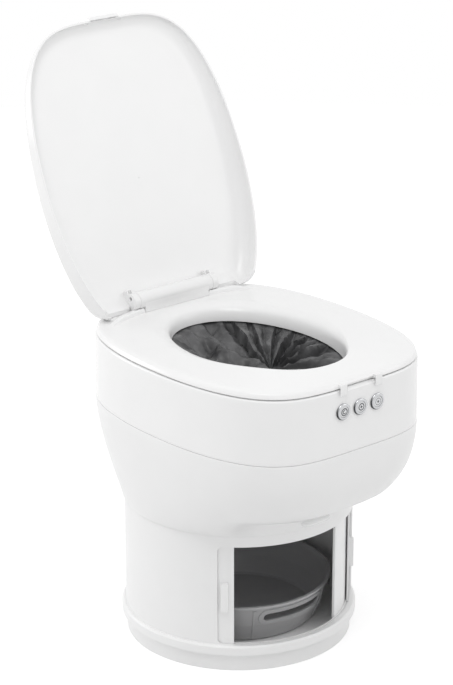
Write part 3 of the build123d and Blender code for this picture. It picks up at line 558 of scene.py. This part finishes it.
def bowl_row(share, inset=0.0, lift=0.0):
    """One level of the bowl: a circle at share 0 that has grown to the body's outline at share 1."""
    def grown(rate):
        return 1 - (1 - share) ** rate
    front = bowl_bottom_radius + (body_half_depth - body_middle_y - bowl_bottom_radius) * grown(front_growth)
    rear = bowl_bottom_radius + (body_half_depth + body_middle_y - bowl_bottom_radius) * grown(rear_growth)
    half_width = bowl_bottom_radius + (body_half_width - bowl_bottom_radius) * grown(side_growth)
    side_power = 2 + (body_side_power - 2) * grown(power_growth)
    end_power = 2 + (body_end_power - 2) * grown(power_growth)
    reach = (front + rear) / 2
    points = oblong(half_width, reach, reach, (rear - front) / 2, side_power, end_power, end_power, inset)
    z = bowl_bottom_z + share * (seam_z - bowl_bottom_z)
    return at_height(skirted(points, z, inset), z + lift)


def smooth(value, low, high):
    share = np.clip((value - low) / (high - low), 0, 1)
    return share * share * (3 - 2 * share)


def skirted(points, z, inset):
    """Pulls the front of a low level in to the pedestal's round, which leaves a soft fold above it."""
    radius = np.hypot(points[:, 0], points[:, 1])
    angle = np.degrees(np.abs(np.arctan2(points[:, 0], -points[:, 1])))
    share = (1 - smooth(angle, skirt_full_angle, skirt_end_angle)) * (1 - smooth(z, skirt_top_z, skirt_end_z))
    wanted = radius + (bowl_bottom_radius - inset - radius) * share
    return points * (wanted / radius)[:, None]


def bowl_rows():
    shares = np.linspace(0, 1, 40) ** 1.25
    rows = [bowl_row(0, 1.0), bowl_row(0.0, 0.0, 1.0)] + [bowl_row(s) for s in shares[2:-1]]
    edge = 0.8
    for a in range(0, 91, 30):
        rows.append(bowl_row(1, edge * (1 - cos(radians(a))), -edge + edge * sin(radians(a))))
    rows += [body_row(seam_z, spigot_step - 0.3), body_row(seam_z + spigot_height, spigot_step)]
    rows += [body_row(seam_z + spigot_height, spigot_step + 2), body_row(seam_z - 12, spigot_step + 2)]
    rows += [bowl_row(s, shell_wall, shell_wall) for s in np.linspace(0.9, 0.04, 16)]
    edge_in = circle_row(bowl_floor_top_z, bowl_bottom_radius - shell_wall - 4)
    hole_top = circle_row(bowl_floor_top_z, drop_hole_radius, drop_hole_y)
    hole_low = circle_row(bowl_floor_z, drop_hole_radius, drop_hole_y)
    rows += [edge_in, edge_in + (hole_top - edge_in) * 0.5, hole_top, hole_low]
    rows += [circle_row(bowl_floor_z, pedestal_fit_radius), circle_row(bowl_bottom_z, pedestal_fit_radius)]
    return rows


def grip_rows():
    """The pill-shaped pad that stands out of the skirt at the front."""
    turn = np.arange(48) * 2 * pi / 48
    rows = []
    for share in np.sin(np.linspace(-pi / 2, pi / 2, 41)):
        size = max(1 - abs(share) ** 7, 0.0) ** 0.5 + 0.004
        a = radians(grip_half_angle * share)
        out = bowl_bottom_radius - 1.5 + (grip_depth + 1.5) * size * np.maximum(np.cos(turn), -0.3)
        z = grip_z + grip_half_height * size * np.sin(turn)
        rows.append(np.column_stack([out * sin(a), -out * cos(a), z]))
    return rows


def make_grip():
    dress(make_object("front_pad", skin(grip_rows())), glossy, "stand", "white_satin", "front_grip")


def make_bowl():
    piece = make_object("lower_bowl", skin(bowl_rows(), ring=True))
    hole = skin(lathe_y([(120, inlet_hole_radius), (260, inlet_hole_radius)], inlet_x, inlet_z))
    combine(piece, hole, "DIFFERENCE")
    dress(piece, satin, "stand", "white_satin", "lower_bowl_shell")


# Seat

def scoop_row(drop, wide):
    """One level of the opening's wall, which leans out far behind and at the sides and little in front."""
    points = opening_row(seat_top_z - drop)
    share = scoop_front + (1 - scoop_front) * smooth(points[:, 1], scoop_front_y, scoop_full_y)
    return points + (opening_row(seat_top_z - drop, -wide) - points) * share[:, None]


def seat_rows():
    outer = [(seat_bottom_z + 0.5, seat_bottom_inset + 0.5), (seat_bottom_z + 1.1, seat_bottom_inset)]
    outer += [(seat_bottom_z + 2.0, seat_bottom_inset + 0.2), (seat_top_z - 2.6, seat_bottom_inset + 2.0)]
    outer += [(seat_top_z - 1.5, seat_bottom_inset + 3.2), (seat_top_z - 0.8, seat_bottom_inset + 5.0)]
    outer += [(seat_top_z - 0.35, seat_bottom_inset + 7.4), (seat_top_z - 0.1, seat_top_inset)]
    rows = [body_row(z, w) for z, w in outer]
    first, last = body_row(seat_top_z, seat_top_inset + 6), scoop_row(0, 27)
    rows += [first + (last - first) * share for share in np.linspace(0, 1, 12)]
    scoop = [(0.2, 24.0), (0.6, 21.6), (1.3, 18.6), (2.3, 15.0), (3.4, 11.8), (4.6, 9.2), (6, 7.0), (7.8, 5.1),
             (10, 3.6), (13, 2.3), (16, 1.4), (19, 0.7), (22, 0.2)]
    rows += [scoop_row(drop, wide) for drop, wide in scoop]
    rows += [opening_row(collar_bottom_z + 0.5, 0), opening_row(collar_bottom_z, -0.6)]
    rows += [opening_row(collar_bottom_z, -collar_wall + 0.5)]
    rows += [opening_row(collar_bottom_z + 0.5, -collar_wall)]
    low = band_top_z + 0.3
    rows += [opening_row(442, -collar_wall), opening_row(low, -collar_wall - 1)]
    first, last = opening_row(low, -collar_wall - 4), body_row(low, 12)
    rows += [first + (last - first) * share for share in np.linspace(0, 1, 6)]
    rows += [body_row(low, 8.5), body_row(seat_bottom_z, 7.5)]
    rows += [body_row(seat_bottom_z, seat_bottom_inset + 1.2)]
    return rows


def seat_lugs():
    parts = []
    for x in seat_hinge_places:
        x0, x1 = x - seat_knuckle / 2, x + seat_knuckle / 2
        parts.append(knuckle(x0, x1, seat_hinge_y, seat_hinge_z, seat_hinge_radius))
        parts.append(block(x0 + 0.3, x1 - 0.3, seat_hinge_y - 14, seat_hinge_y, seat_hinge_z + 0.8,
                           seat_hinge_z + seat_hinge_radius - 0.2))
    return parts


def make_clips():
    """The two rounded tabs that hang from the seat's front edge over the band."""
    parts = []
    for side in (-1, 1):
        x0, x1 = side * clip_x - clip_half_width, side * clip_x + clip_half_width
        tab = make_object("tab", block(x0, x1, front_y - clip_gap - clip_depth, front_y - clip_gap,
                                       clip_low_z, clip_high_z))
        soften(tab, 0.9)
        parts += [parts_of(tab), block(x0 + 1.2, x1 - 1.2, front_y - clip_gap - 1, front_y + clip_reach,
                                       seat_bottom_z + 1.5, clip_high_z - 1.2)]
    dress(make_object("seat_tabs", together(parts)), glossy, "seat", "white_gloss", "seat_clips")


def seat_lip(side):
    """The rounded rail behind the opening, which clears the barrel's end and dies away towards the corner."""
    rows = []
    across = np.linspace(0, 1, 25)
    rise = (1 - np.abs(2 * across - 1) ** 5) ** 0.45
    for x in np.linspace(lip_inner_x, lip_outer_x, 60):
        fade = np.clip((x - lip_fade_x) / (lip_outer_x - lip_fade_x), 0, 1)
        start = np.clip((x - lip_inner_x) / 2.0, 0, 1)
        tall = lip_height * (1 - fade ** 2 * (3 - 2 * fade)) * (0.55 + 0.45 * start ** 0.5)
        y = lip_centre_y + np.sqrt((lip_front_radius + lip_depth * across) ** 2 - x ** 2)
        top = seat_top_z + tall * rise
        room = barrel_z - np.sqrt(np.maximum((barrel_radius + 0.7) ** 2 - (y - barrel_y) ** 2, 0))
        if x < knuckle_outer_x + 0.7:
            top = np.where(np.abs(y - barrel_y) < barrel_radius + 0.7, np.minimum(top, room), top)
        top = np.maximum(top, seat_top_z - 0.5)
        low = np.full(2, seat_top_z - lip_sink)
        outline_y = np.append(y, [y[-1], y[0]])
        rows.append(np.column_stack([np.full(len(outline_y), side * x), outline_y, np.append(top, low)]))
    return skin(rows)


def make_seat():
    piece = make_object("seat_ring", skin(seat_rows(), ring=True))
    combine(piece, finger_recess(), "DIFFERENCE")
    add_part(piece, together(seat_lugs() + [seat_lip(-1), seat_lip(1)]))
    dress(piece, glossy, "seat", "white_gloss", "seat_plate")


def make_hinge_cover():
    """The barrel between the lid's knuckles, and the flat plate that carries it on the seat."""
    ahead_y = barrel_y - barrel_radius
    plate = make_object("plate", block(-bracket_half_width, bracket_half_width, ahead_y + 0.05,
                                       ahead_y + bracket_depth, seat_top_z, barrel_z))
    soften(plate, 0.8)
    barrel = knuckle(-barrel_half_length, barrel_half_length, barrel_y, barrel_z, barrel_radius, 0.7)
    piece = make_object("hinge_cover", barrel)
    add_part(piece, parts_of(plate))
    combine(piece, pin_hole(), "DIFFERENCE")
    dress(piece, glossy, "seat", "white_gloss", "lid_hinge_cover")


def pin_hole():
    reach = knuckle_outer_x + 2
    return skin(lathe_x([(-reach, pin_radius), (reach, pin_radius)], hinge_y, hinge_z))


# Lid

def soft_min(a, b, width):
    share = np.clip(0.5 + 0.5 * (b - a) / width, 0, 1)
    return b * (1 - share) + a * share - width * share * (1 - share)


def lid_top_at(y, lift=0.0):
    slope = (lid_top_rear_z - lid_top_front_z) / (hinge_y - (lid_middle_y - lid_front))
    return lid_top_rear_z - lift + (y - hinge_y) * slope


def lid_outline(inset, z, count=320):
    """The closed lid's outline at the heights z. It is cut off behind by a slope, which lies over the seat when
    the lid is open."""
    points = oblong(lid_half_width, lid_front, lid_rear, lid_middle_y, lid_side_power, lid_front_power,
                    lid_rear_power, inset, count)
    a = radians(lid_open_angle)
    floor = seat_top_z + lid_stop_gap + inset
    limit = hinge_y + (hinge_z - floor + (z(points[:, 1]) - hinge_z) * cos(a)) / sin(a)
    return np.column_stack([points[:, 0], soft_min(points[:, 1], limit, lid_corner_round)])


def lid_level(inset, height):
    """One row of the lid. height gives z from the rim's height and the top's height over each point."""
    flat = lid_outline(inset, lambda y: height(np.full(len(y), lid_rim_z), lid_top_at(y)))
    z = height(np.full(len(flat), lid_rim_z), lid_top_at(flat[:, 1]))
    return np.column_stack([flat, z])


def rim_levels(inset, side):
    """The rim's rounded edge, on its outside with a side of 1 and on its inside with -1."""
    steps = [(0.7, 0.0), (0.15, 0.35), (0.0, 1.0)]
    return [lid_level(inset + side * more, lambda rim, top, up=up: rim + up) for more, up in steps]


def lid_rows():
    turn = lid_edge_round
    rows = rim_levels(0.0, 1)
    for share in (0.25, 0.5, 0.75, 1.0):
        rows.append(lid_level(0.0, lambda rim, top, s=share: rim + 1 + (top - turn - rim - 1) * s))
    for a in range(10, 91, 10):
        inset, up = turn * (1 - cos(radians(a))), turn * sin(radians(a))
        rows.append(lid_level(inset, lambda rim, top, up=up: top - turn + up))
    rows += shrinking(rows[-1], lambda y: lid_top_at(y))
    inner = rim_levels(lid_wall, -1)
    dish = lid_dish_round
    for a in range(0, 91, 9):
        side, up = lid_wall + dish * (1 - cos(radians(a))), 1 - sin(radians(a))
        inner.append(lid_level(side, lambda rim, top, up=up: top - lid_wall
                               - np.minimum(dish * 0.9, (top - lid_wall - rim) * 0.85) * up))
    inner += shrinking(inner[-1], lambda y: lid_top_at(y, lid_wall))
    return rows + inner[::-1]


def shrinking(row, height):
    """Rows that close a flat panel in to a small round hole in its middle."""
    centre = np.array([0.0, lid_middle_y])
    made = []
    for share in (0.9, 0.78, 0.64, 0.5, 0.36, 0.22, 0.1, 0.03, 0.004):
        flat = centre + (row[:, :2] - centre) * share
        made.append(np.column_stack([flat, height(flat[:, 1])]))
    return made


def opened(points):
    """Turns points of the closed lid about the hinge line to its open place."""
    a = radians(-lid_open_angle)
    y, z = points[:, 1] - hinge_y, points[:, 2] - hinge_z
    turned_y, turned_z = hinge_y + y * cos(a) - z * sin(a), hinge_z + y * sin(a) + z * cos(a)
    return np.column_stack([points[:, 0], turned_y, turned_z])


def turning_room(half_width, from_radius, behind):
    """The room behind the closed lid's hinge that must be empty for the lid to turn over the seat."""
    reach, a = 90.0, radians(lid_open_angle - 90)
    upper_y, upper_z = hinge_y - behind * sin(a), hinge_z + behind * cos(a)
    if from_radius:
        turns = [radians(-90 + lid_open_angle * i / 12) for i in range(13)]
        inner = [(hinge_y + from_radius * cos(t), hinge_z + from_radius * sin(t)) for t in turns]
    else:
        inner = [(hinge_y, hinge_z), (upper_y, upper_z)]
    outer = [(upper_y + reach * cos(a), upper_z + reach * sin(a)), (hinge_y + reach, hinge_z - reach)]
    corners = inner + outer + [(hinge_y, hinge_z - reach)]
    return slab_x(corners, half_width)


def lid_knuckles():
    """The barrel's two end pieces, on the open lid."""
    parts = []
    for side in (-1, 1):
        x0, x1 = sorted((side * (barrel_half_length + 0.3), side * knuckle_outer_x))
        parts.append(knuckle(x0, x1, barrel_y, barrel_z, barrel_radius, 0.7))
    return parts


def lid_ribs():
    """The thin ribs and webs that join the end pieces to the lid, on the closed lid."""
    parts = []
    for side in (-1, 1):
        x0, x1 = sorted((side * (barrel_half_length + 0.3), side * knuckle_outer_x))
        for x in (x0 + 0.3, x1 - 1.9):
            parts.append(block(x, x + 1.6, hinge_y - 13, hinge_y + 5, hinge_z + 4, hinge_z + 16))
        parts.append(block(x0 + 0.2, x1 - 0.2, hinge_y + 0.5, hinge_y + 5.5, hinge_z + 4, hinge_z + 16))
    return parts


def lid_tab():
    front = lid_middle_y - lid_front
    rows = []
    for z, grow in ((lid_rim_z, -0.6), (lid_rim_z + 0.6, 0), (lid_rim_z + 5.4, 0), (lid_rim_z + 6, -0.6)):
        w, y0 = tab_half_width + grow, front - tab_reach - grow
        corner = 2.0
        outline = [(-w, front + 3), (-w, y0 + corner)]
        left, right = ([radians(a) for a in turns] for turns in ((30, 60, 90), (0, 30, 60)))
        outline += [(-w + corner - corner * cos(t), y0 + corner - corner * sin(t)) for t in left]
        outline += [(w - corner + corner * sin(t), y0 + corner - corner * cos(t)) for t in right]
        outline += [(w, y0 + corner), (w, front + 3)]
        rows.append(np.array([(x, y, z) for x, y in outline], float))
    return skin(rows)


def make_lid():
    piece = make_object("lid_cover", skin(lid_rows(), ring=True))
    for size in turning_rooms:
        combine(piece, turning_room(*size), "DIFFERENCE")
    front = lid_middle_y - lid_front
    notches = []
    for side in (-1, 1):
        x0, x1 = sorted((side * (tab_half_width + 0.5), side * (tab_half_width + tab_notch - 0.5)))
        notches.append(block(x0, x1, front - 8, front + lid_wall + 2, lid_rim_z + 2, lid_rim_z + 8))
    combine(piece, together(notches), "DIFFERENCE")
    add_part(piece, together(lid_ribs() + [lid_tab()]))
    points = np.array([v.co for v in piece.data.vertices]) / MM
    piece.data.vertices.foreach_set("co", (opened(points) * MM).ravel())
    ends = make_object("lid_ends", together(lid_knuckles()))
    combine(ends, pin_hole(), "DIFFERENCE")
    add_part(piece, parts_of(ends))
    dress(piece, glossy, "lid", "white_gloss", "lid_shell")


# Liner film

# Folds of the film as directions from the pinch, 0 to the rear and 90 to the right, with the height of each
fold_knots = (
    (-150, 0.3), (-120, -0.2), (-90, 0.2), (-62, -0.1), (-50, 0.4), (-46, -0.5), (-41, 0.5),
    (-37, -0.5), (-34, 0.4), (-31, -0.9), (-26, 0.6), (-20, 0.2), (-18, -0.7), (-12, 0.5),
    (-8, -0.8), (-5, 0.3), (0, 0.75), (3, -0.9), (8, -0.2), (11, 0.4), (14, -0.6),
    (17.5, -1.1), (18.5, 0.8), (24.5, 0.35), (26, -0.3), (28.5, -0.5), (29.5, 0.8), (33, 0.45),
    (36, 0.0), (40, 0.35), (44, 0.65), (46, -0.35), (50, 0.1), (55, 0.5), (60, 0.75),
    (62, -1.0), (68, -0.9), (73, 0.15), (77, 0.8), (79.5, -0.7), (86, 0.05), (91, 0.75),
    (93.5, -0.6), (100, 0.2), (106, 0.85), (109, -1.2), (122, -1.0), (129, 0.35), (140, 0.1),
    (148, 0.7), (152, -0.5), (165, 0.1), (185, -0.3),
)


def fold_height(angle):
    """The folds' height in each direction: broad flat faces with a sharp crest on one side."""
    knots, heights = zip(*fold_knots)
    return np.interp(angle, knots, heights, period=360)


def crumple(flat, size, seed):
    """A height between -1 and 1 with sharp crests, as thin film creases."""
    return np.array([1 - 4 * abs(noise.noise(Vector((x / size, y / size, seed)))) for x, y in flat])


def film_rows():
    """The film from the rim of its store inwards to the pinch and down the gathered neck."""
    count, depth = 540, 70
    rim = opening_row(0, -film_flange, count)[:, :2]
    neck = np.array([pinch_x, pinch_y])
    away = rim - neck
    angle = np.degrees(np.arctan2(away[:, 0], away[:, 1])) % 360
    angle = np.where(angle > 200, angle - 360, angle)
    taut = smooth(angle, 8, 17) * (1 - smooth(angle, 150, 185))
    near_left = (1 - smooth(angle, -70, -40)) * smooth(angle, -160, -130)
    rows = [np.column_stack([rim, np.full(count, film_rim_z - 1.2)])]
    for i in range(depth):
        share = 1 - (i + 0.5) / depth * 0.985
        flat = neck + away * share
        swirl = 5.0 * sin(2.6 * share) * (1 - share)
        cone = pinch_z + (film_rim_z - pinch_z) * share ** 1.15
        pocket = pocket_z + (film_rim_z - pocket_z) * smooth(np.full(count, share), 0.45, 1.02) ** 1.6
        pocket = pocket + (pinch_z + 3 - pocket) * smooth(np.full(count, 1 - share), 0.72, 1.0)
        pocket = pocket + near_left * (film_rim_z - 3 - pocket) * smooth(np.full(count, share), 0.74, 0.88)
        z = cone * taut + pocket * (1 - taut)
        reach = share ** 0.75 * (1 - share ** 7)
        deep = fold_depth * taut + loose_fold_depth * (1 - taut) * share ** 3
        z = z + fold_height(angle + swirl) * deep * reach
        loose = sin(pi * min(share, 0.98)) ** 0.6
        z = z + crumple(flat, wave_size, 3.1) * wave_depth * (1 - taut) * loose
        z = z + crumple(flat, wrinkle_size, 8.7) * wrinkle_depth * loose
        across, along = (flat[:, 0] - lobe_x) / lobe_half_width, (flat[:, 1] - lobe_y) / lobe_half_length
        z = z + lobe_height * np.exp(-(across ** 2 + along ** 2) ** 2) * (1 - taut)
        rows.append(np.column_stack([flat, np.minimum(z, film_rim_z + 0.4)]))
    t = np.arange(count) * 2 * pi / count - pi / 2
    levels = [(z, film_neck_radius) for z in (pinch_z - 4, pinch_z - 30, film_end_z)] + [(film_end_z, 0.3)]
    for z, radius in levels:
        x, y = pinch_x + radius * np.cos(t), pinch_y + radius * np.sin(t)
        rows.append(np.column_stack([x, y, np.full(count, z)]))
    return rows


def make_film():
    rows = film_rows()
    piece = make_object("liner_film", skin(rows, cap=False))
    wall = piece.modifiers.new("film_thickness", "SOLIDIFY")
    wall.thickness, wall.offset = film_thickness * MM, -1.0
    apply_modifiers(piece)
    dress(piece, film_finish, "stand", "film", "film_bag", crease=70)


# Marks on the buttons

def mark_arc(x, radius, width, start=0, end=360):
    """A thin printed arc on a button's face, between two angles from the right."""
    whole = end - start >= 360
    t = np.radians(np.linspace(start, end, 97)[:96 if whole else 97])
    inner = radius - width
    section = [(mark_front, radius), (mark_front, inner), (mark_back, inner), (mark_back, radius)]
    rows = [np.array([(x + r * cos(a), y, button_z + r * sin(a)) for y, r in section]) for a in t]
    return skin(rows, ring=whole)


def mark_dot(x, radius):
    return skin(lathe_y([(mark_front, radius), (mark_back, radius)], x, button_z, 48))


def mark_bar(x, half_width, half_height):
    return block(x - half_width, x + half_width, mark_front, mark_back,
                 button_z - half_height, button_z + half_height)


def make_marks(ink):
    marks = {
        "power": [mark_arc(-button_pitch, 5.6, 1.5), mark_arc(-button_pitch, 2.9, 1.3, 60, 330)],
        "cover": [mark_arc(0.0, 5.2, 1.4), mark_bar(0.0, 2.0, 0.6), mark_bar(0.0, 0.6, 2.0)],
        "flush": [mark_arc(button_pitch, 5.0, 0.6), mark_dot(button_pitch, 1.5)],
    }
    for name, parts in marks.items():
        dress(make_object(f"{name}_mark", together(parts)), ink, f"{name}_key", "button_white")


# Floor, light and camera

def light_path(tree):
    """1 for rays from the camera, and for those in a mirror or through glass."""
    path = node(tree, "ShaderNodeLightPath")
    some = node(tree, "ShaderNodeMath", {"operation": "MAXIMUM"},
                {0: path.outputs["Is Camera Ray"], 1: path.outputs["Is Glossy Ray"]})
    return node(tree, "ShaderNodeMath", {"operation": "MAXIMUM"},
                {0: some.outputs[0], 1: path.outputs["Is Transmission Ray"]}).outputs[0]


def make_world(ambient):
    world = bpy.data.worlds.new("studio")
    world.use_nodes = True
    tree = world.node_tree
    tree.nodes.clear()
    seen = node(tree, "ShaderNodeBackground", None, {"Color": (1, 1, 1, 1), "Strength": 1.0})
    giving = node(tree, "ShaderNodeBackground", None, {"Color": (1, 1, 1, 1), "Strength": ambient})
    inputs = {0: light_path(tree), 1: giving.outputs[0], 2: seen.outputs[0]}
    mixed = node(tree, "ShaderNodeMixShader", None, inputs)
    node(tree, "ShaderNodeOutputWorld", None, {"Surface": mixed.outputs[0]})
    bpy.context.scene.world = world


def make_floor(glow):
    """A plain pale floor that shows white, apart from the object's shadow on it."""
    floor = make_object("floor", skin([circle_row(-2, 3000), circle_row(0, 3000)]))
    made, tree = new_material("white_studio_floor")
    matt = node(tree, "ShaderNodeBsdfDiffuse", None, {"Color": linear("E7E7E7")})
    strength = node(tree, "ShaderNodeMath", {"operation": "MULTIPLY"}, {0: light_path(tree), 1: glow})
    shine = node(tree, "ShaderNodeEmission", None, {"Color": (1, 1, 1, 1), "Strength": strength.outputs[0]})
    both = node(tree, "ShaderNodeAddShader", None, {0: matt.outputs[0], 1: shine.outputs[0]})
    node(tree, "ShaderNodeOutputMaterial", None, {"Surface": both.outputs[0]})
    floor.data.materials.append(made)


def make_lamp(name, place, size, power):
    data = bpy.data.lights.new(name, "AREA")
    data.shape, data.size, data.energy = "DISK", size, power
    lamp = bpy.data.objects.new(name, data)
    lamp.location = place
    lamp.rotation_mode = "QUATERNION"
    lamp.rotation_quaternion = (Vector((0, 0, 0.35)) - Vector(place)).to_track_quat("-Z", "Y")
    bpy.context.scene.collection.objects.link(lamp)


def make_camera():
    """The photograph's view, fitted to it: far back with a long lens, from the front left and above."""
    azimuth, elevation, distance = radians(-40.02), radians(22.81), 3.595
    long_side, focal, right_by, down_by = 685.0, 2500.0, 12.23, 122.06
    back = Vector((sin(azimuth) * cos(elevation), -cos(azimuth) * cos(elevation), sin(elevation)))
    data = bpy.data.cameras.new("camera")
    data.sensor_width = 36.0
    data.lens = data.sensor_width * focal / long_side
    data.shift_x, data.shift_y = -right_by / long_side, down_by / long_side
    data.clip_end = 50.0
    camera = bpy.data.objects.new("camera", data)
    camera.location = Vector((0, 0, 0.2475)) + back * distance
    camera.rotation_mode = "QUATERNION"
    camera.rotation_quaternion = (-back).to_track_quat("-Z", "Y")
    bpy.context.scene.collection.objects.link(camera)
    bpy.context.scene.camera = camera


dress_cad_nodes()
make_band()
make_bowl()
make_grip()
make_seat()
make_clips()
make_hinge_cover()
make_lid()
make_film()
make_marks(pad_ink())
make_world(0.78)
make_floor(0.378)
make_lamp("key_light", (-1.1, -0.8, 3.0), 1.8, 20)
make_lamp("fill_light", (1.8, -1.8, 1.6), 1.6, 6.5)
make_lamp("left_light", (-1.8, 2.6, 1.0), 1.2, 18)
make_camera()
bpy.context.scene.view_settings.view_transform = "Standard"
